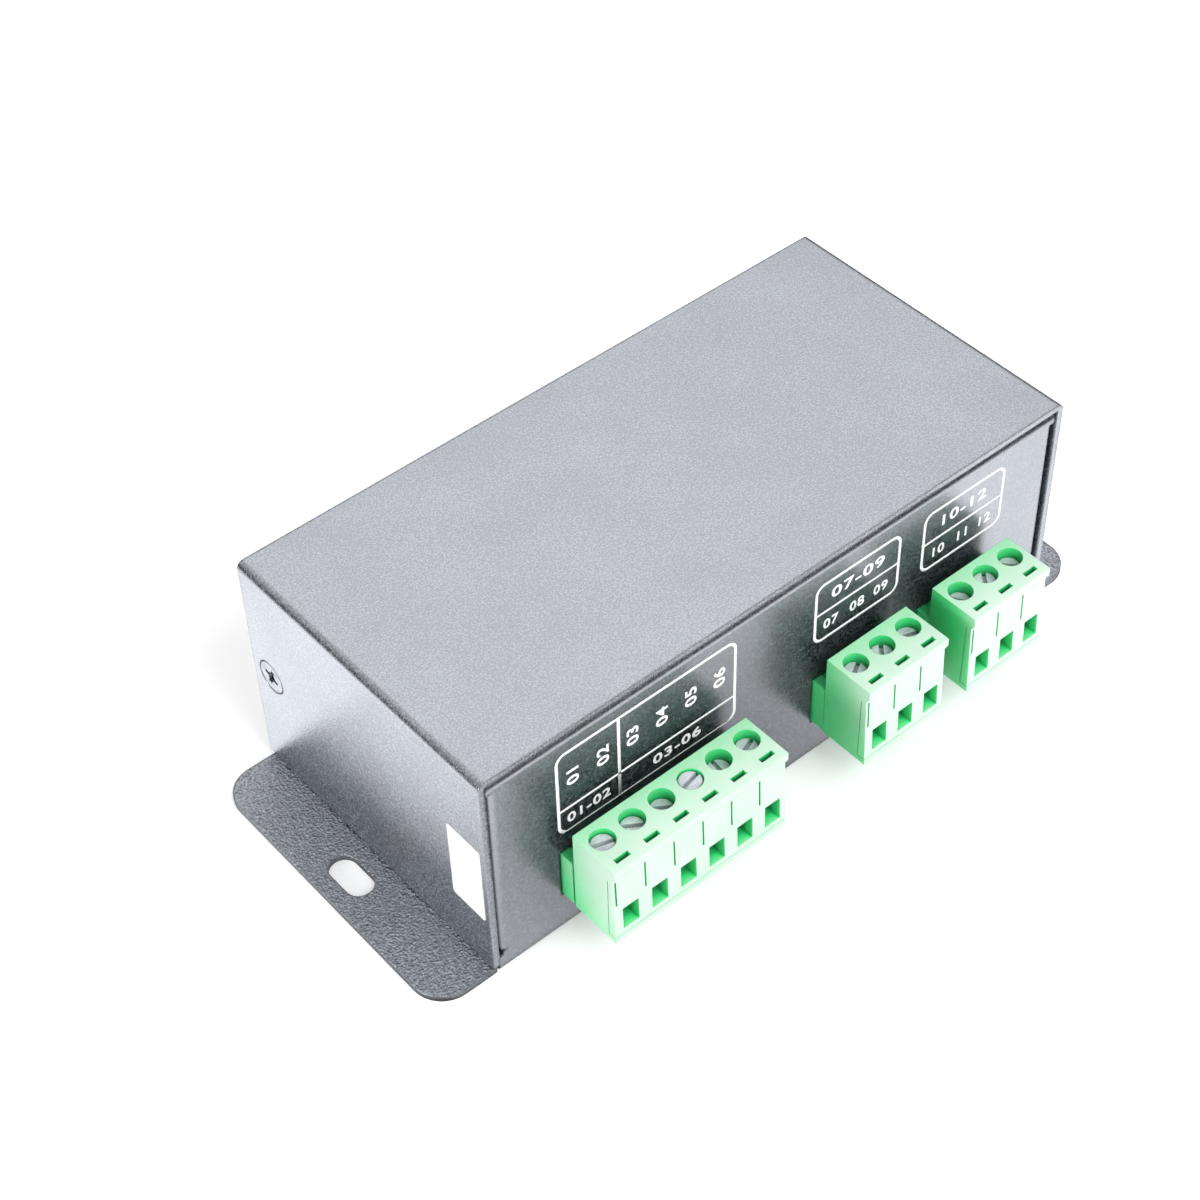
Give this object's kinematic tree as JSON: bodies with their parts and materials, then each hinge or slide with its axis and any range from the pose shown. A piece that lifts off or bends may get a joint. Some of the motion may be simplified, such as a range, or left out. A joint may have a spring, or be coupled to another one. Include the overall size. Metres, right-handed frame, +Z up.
{
  "type": "dmx decoder",
  "caption": "Lighting control decoder in a folded steel case with slotted mounting ears, plug-in screw terminals on the front and an address switch on the back.",
  "frame": {"origin": "middle of the base's underside, on the surface that the unit is screwed to", "axes": "+X along the case, left to right as seen from the terminal side; -Y out of the terminal side; +Z up, away from the mounting surface"},
  "size_m": [0.125, 0.0627, 0.04],
  "materials": {
    "case_paint": "fine wrinkle powder coat, satin",
    "zinc_steel": "bright zinc plated",
    "nickel_steel": "nickel plated",
    "board_laminate": "solder mask over glass laminate",
    "terminal_plastic": "moulded polyamide",
    "tinned_brass": "tinned",
    "switch_plastic": "moulded",
    "lever_plastic": "moulded",
    "lamp_lens": "tinted clear lens",
    "epoxy_black": "moulded epoxy",
    "can_aluminium": "drawn can",
    "ferrite": "pressed ferrite powder"
  },
  "bodies": {
    "case": {"base_tray": "case_paint", "cover": "case_paint", "cover_screws": "zinc_steel", "circuit_board": "board_laminate", "board_standoffs": "zinc_steel", "board_screws": "zinc_steel", "power_header": "terminal_plastic", "data_in_header": "terminal_plastic", "data_out_header": "terminal_plastic", "contact_pins": "tinned_brass", "switch_body": "switch_plastic", "status_lamp": "lamp_lens", "power_transistors": "epoxy_black", "filter_capacitors": "can_aluminium", "choke": "ferrite", "microcontroller": "epoxy_black", "line_transceivers": "epoxy_black", "voltage_regulator": "epoxy_black", "clock_crystal": "can_aluminium"},
    "power_plug": {"power_plug_housing": "terminal_plastic", "power_plug_contacts": "tinned_brass"},
    "data_in_plug": {"data_in_plug_housing": "terminal_plastic", "data_in_plug_contacts": "tinned_brass"},
    "data_out_plug": {"data_out_plug_housing": "terminal_plastic", "data_out_plug_contacts": "tinned_brass"},
    "clamp_screw_1": {"clamp_screw_1": "zinc_steel"},
    "clamp_cage_1": {"clamp_cage_1": "nickel_steel"},
    "clamp_screw_2": {"clamp_screw_2": "zinc_steel"},
    "clamp_cage_2": {"clamp_cage_2": "nickel_steel"},
    "clamp_screw_3": {"clamp_screw_3": "zinc_steel"},
    "clamp_cage_3": {"clamp_cage_3": "nickel_steel"},
    "clamp_screw_4": {"clamp_screw_4": "zinc_steel"},
    "clamp_cage_4": {"clamp_cage_4": "nickel_steel"},
    "clamp_screw_5": {"clamp_screw_5": "zinc_steel"},
    "clamp_cage_5": {"clamp_cage_5": "nickel_steel"},
    "clamp_screw_6": {"clamp_screw_6": "zinc_steel"},
    "clamp_cage_6": {"clamp_cage_6": "nickel_steel"},
    "clamp_screw_7": {"clamp_screw_7": "zinc_steel"},
    "clamp_cage_7": {"clamp_cage_7": "nickel_steel"},
    "clamp_screw_8": {"clamp_screw_8": "zinc_steel"},
    "clamp_cage_8": {"clamp_cage_8": "nickel_steel"},
    "clamp_screw_9": {"clamp_screw_9": "zinc_steel"},
    "clamp_cage_9": {"clamp_cage_9": "nickel_steel"},
    "clamp_screw_10": {"clamp_screw_10": "zinc_steel"},
    "clamp_cage_10": {"clamp_cage_10": "nickel_steel"},
    "clamp_screw_11": {"clamp_screw_11": "zinc_steel"},
    "clamp_cage_11": {"clamp_cage_11": "nickel_steel"},
    "clamp_screw_12": {"clamp_screw_12": "zinc_steel"},
    "clamp_cage_12": {"clamp_cage_12": "nickel_steel"},
    "switch_lever_1": {"switch_lever_1": "lever_plastic"},
    "switch_lever_2": {"switch_lever_2": "lever_plastic"},
    "switch_lever_3": {"switch_lever_3": "lever_plastic"},
    "switch_lever_4": {"switch_lever_4": "lever_plastic"},
    "switch_lever_5": {"switch_lever_5": "lever_plastic"},
    "switch_lever_6": {"switch_lever_6": "lever_plastic"},
    "switch_lever_7": {"switch_lever_7": "lever_plastic"},
    "switch_lever_8": {"switch_lever_8": "lever_plastic"},
    "switch_lever_9": {"switch_lever_9": "lever_plastic"},
    "switch_lever_10": {"switch_lever_10": "lever_plastic"}
  },
  "joints": [
    {"name": "power_plug_pull", "type": "slide", "parent": "case", "child": "power_plug", "axis": [0, -1, 0], "range_m": [0, 0.014]},
    {"name": "data_in_plug_pull", "type": "slide", "parent": "case", "child": "data_in_plug", "axis": [0, -1, 0], "range_m": [0, 0.014]},
    {"name": "data_out_plug_pull", "type": "slide", "parent": "case", "child": "data_out_plug", "axis": [0, -1, 0], "range_m": [0, 0.014]},
    {"name": "clamp_screw_1_turn", "type": "hinge", "parent": "power_plug", "child": "clamp_screw_1", "pos_m": [-0.038, -0.0314, 0.02235], "axis": [0, 0, -1], "range_deg": [0, 1728]},
    {"name": "clamp_cage_1_lift", "type": "slide", "parent": "power_plug", "child": "clamp_cage_1", "axis": [0, 0, 1], "range_m": [0, 0.0024]},
    {"name": "clamp_screw_2_turn", "type": "hinge", "parent": "power_plug", "child": "clamp_screw_2", "pos_m": [-0.03292, -0.0314, 0.02235], "axis": [0, 0, -1], "range_deg": [0, 1728]},
    {"name": "clamp_cage_2_lift", "type": "slide", "parent": "power_plug", "child": "clamp_cage_2", "axis": [0, 0, 1], "range_m": [0, 0.0024]},
    {"name": "clamp_screw_3_turn", "type": "hinge", "parent": "power_plug", "child": "clamp_screw_3", "pos_m": [-0.02784, -0.0314, 0.02235], "axis": [0, 0, -1], "range_deg": [0, 1728]},
    {"name": "clamp_cage_3_lift", "type": "slide", "parent": "power_plug", "child": "clamp_cage_3", "axis": [0, 0, 1], "range_m": [0, 0.0024]},
    {"name": "clamp_screw_4_turn", "type": "hinge", "parent": "power_plug", "child": "clamp_screw_4", "pos_m": [-0.02276, -0.0314, 0.02235], "axis": [0, 0, -1], "range_deg": [0, 1728]},
    {"name": "clamp_cage_4_lift", "type": "slide", "parent": "power_plug", "child": "clamp_cage_4", "axis": [0, 0, 1], "range_m": [0, 0.0024]},
    {"name": "clamp_screw_5_turn", "type": "hinge", "parent": "power_plug", "child": "clamp_screw_5", "pos_m": [-0.01768, -0.0314, 0.02235], "axis": [0, 0, -1], "range_deg": [0, 1728]},
    {"name": "clamp_cage_5_lift", "type": "slide", "parent": "power_plug", "child": "clamp_cage_5", "axis": [0, 0, 1], "range_m": [0, 0.0024]},
    {"name": "clamp_screw_6_turn", "type": "hinge", "parent": "power_plug", "child": "clamp_screw_6", "pos_m": [-0.0126, -0.0314, 0.02235], "axis": [0, 0, -1], "range_deg": [0, 1728]},
    {"name": "clamp_cage_6_lift", "type": "slide", "parent": "power_plug", "child": "clamp_cage_6", "axis": [0, 0, 1], "range_m": [0, 0.0024]},
    {"name": "clamp_screw_7_turn", "type": "hinge", "parent": "data_in_plug", "child": "clamp_screw_7", "pos_m": [0.00805, -0.03115, 0.02235], "axis": [0, 0, -1], "range_deg": [0, 1728]},
    {"name": "clamp_cage_7_lift", "type": "slide", "parent": "data_in_plug", "child": "clamp_cage_7", "axis": [0, 0, 1], "range_m": [0, 0.0024]},
    {"name": "clamp_screw_8_turn", "type": "hinge", "parent": "data_in_plug", "child": "clamp_screw_8", "pos_m": [0.01313, -0.03115, 0.02235], "axis": [0, 0, -1], "range_deg": [0, 1728]},
    {"name": "clamp_cage_8_lift", "type": "slide", "parent": "data_in_plug", "child": "clamp_cage_8", "axis": [0, 0, 1], "range_m": [0, 0.0024]},
    {"name": "clamp_screw_9_turn", "type": "hinge", "parent": "data_in_plug", "child": "clamp_screw_9", "pos_m": [0.01821, -0.03115, 0.02235], "axis": [0, 0, -1], "range_deg": [0, 1728]},
    {"name": "clamp_cage_9_lift", "type": "slide", "parent": "data_in_plug", "child": "clamp_cage_9", "axis": [0, 0, 1], "range_m": [0, 0.0024]},
    {"name": "clamp_screw_10_turn", "type": "hinge", "parent": "data_out_plug", "child": "clamp_screw_10", "pos_m": [0.0287, -0.03115, 0.02235], "axis": [0, 0, -1], "range_deg": [0, 1728]},
    {"name": "clamp_cage_10_lift", "type": "slide", "parent": "data_out_plug", "child": "clamp_cage_10", "axis": [0, 0, 1], "range_m": [0, 0.0024]},
    {"name": "clamp_screw_11_turn", "type": "hinge", "parent": "data_out_plug", "child": "clamp_screw_11", "pos_m": [0.03378, -0.03115, 0.02235], "axis": [0, 0, -1], "range_deg": [0, 1728]},
    {"name": "clamp_cage_11_lift", "type": "slide", "parent": "data_out_plug", "child": "clamp_cage_11", "axis": [0, 0, 1], "range_m": [0, 0.0024]},
    {"name": "clamp_screw_12_turn", "type": "hinge", "parent": "data_out_plug", "child": "clamp_screw_12", "pos_m": [0.03886, -0.03115, 0.02235], "axis": [0, 0, -1], "range_deg": [0, 1728]},
    {"name": "clamp_cage_12_lift", "type": "slide", "parent": "data_out_plug", "child": "clamp_cage_12", "axis": [0, 0, 1], "range_m": [0, 0.0024]},
    {"name": "switch_lever_1_slide", "type": "slide", "parent": "case", "child": "switch_lever_1", "axis": [0, 0, 1], "range_m": [0, 0.0018]},
    {"name": "switch_lever_2_slide", "type": "slide", "parent": "case", "child": "switch_lever_2", "axis": [0, 0, 1], "range_m": [0, 0.0018]},
    {"name": "switch_lever_3_slide", "type": "slide", "parent": "case", "child": "switch_lever_3", "axis": [0, 0, 1], "range_m": [0, 0.0018]},
    {"name": "switch_lever_4_slide", "type": "slide", "parent": "case", "child": "switch_lever_4", "axis": [0, 0, 1], "range_m": [0, 0.0018]},
    {"name": "switch_lever_5_slide", "type": "slide", "parent": "case", "child": "switch_lever_5", "axis": [0, 0, 1], "range_m": [0, 0.0018]},
    {"name": "switch_lever_6_slide", "type": "slide", "parent": "case", "child": "switch_lever_6", "axis": [0, 0, 1], "range_m": [0, 0.0018]},
    {"name": "switch_lever_7_slide", "type": "slide", "parent": "case", "child": "switch_lever_7", "axis": [0, 0, 1], "range_m": [0, 0.0018]},
    {"name": "switch_lever_8_slide", "type": "slide", "parent": "case", "child": "switch_lever_8", "axis": [0, 0, 1], "range_m": [0, 0.0018]},
    {"name": "switch_lever_9_slide", "type": "slide", "parent": "case", "child": "switch_lever_9", "axis": [0, 0, 1], "range_m": [0, 0.0018]},
    {"name": "switch_lever_10_slide", "type": "slide", "parent": "case", "child": "switch_lever_10", "axis": [0, 0, 1], "range_m": [0, 0.0018]}
  ],
  "couplings": [
    {"joint": "clamp_screw_1_turn", "follows": "clamp_cage_1_lift", "rad_per_m": 12566},
    {"joint": "clamp_screw_2_turn", "follows": "clamp_cage_2_lift", "rad_per_m": 12566},
    {"joint": "clamp_screw_3_turn", "follows": "clamp_cage_3_lift", "rad_per_m": 12566},
    {"joint": "clamp_screw_4_turn", "follows": "clamp_cage_4_lift", "rad_per_m": 12566},
    {"joint": "clamp_screw_5_turn", "follows": "clamp_cage_5_lift", "rad_per_m": 12566},
    {"joint": "clamp_screw_6_turn", "follows": "clamp_cage_6_lift", "rad_per_m": 12566},
    {"joint": "clamp_screw_7_turn", "follows": "clamp_cage_7_lift", "rad_per_m": 12566},
    {"joint": "clamp_screw_8_turn", "follows": "clamp_cage_8_lift", "rad_per_m": 12566},
    {"joint": "clamp_screw_9_turn", "follows": "clamp_cage_9_lift", "rad_per_m": 12566},
    {"joint": "clamp_screw_10_turn", "follows": "clamp_cage_10_lift", "rad_per_m": 12566},
    {"joint": "clamp_screw_11_turn", "follows": "clamp_cage_11_lift", "rad_per_m": 12566},
    {"joint": "clamp_screw_12_turn", "follows": "clamp_cage_12_lift", "rad_per_m": 12566}
  ]
}
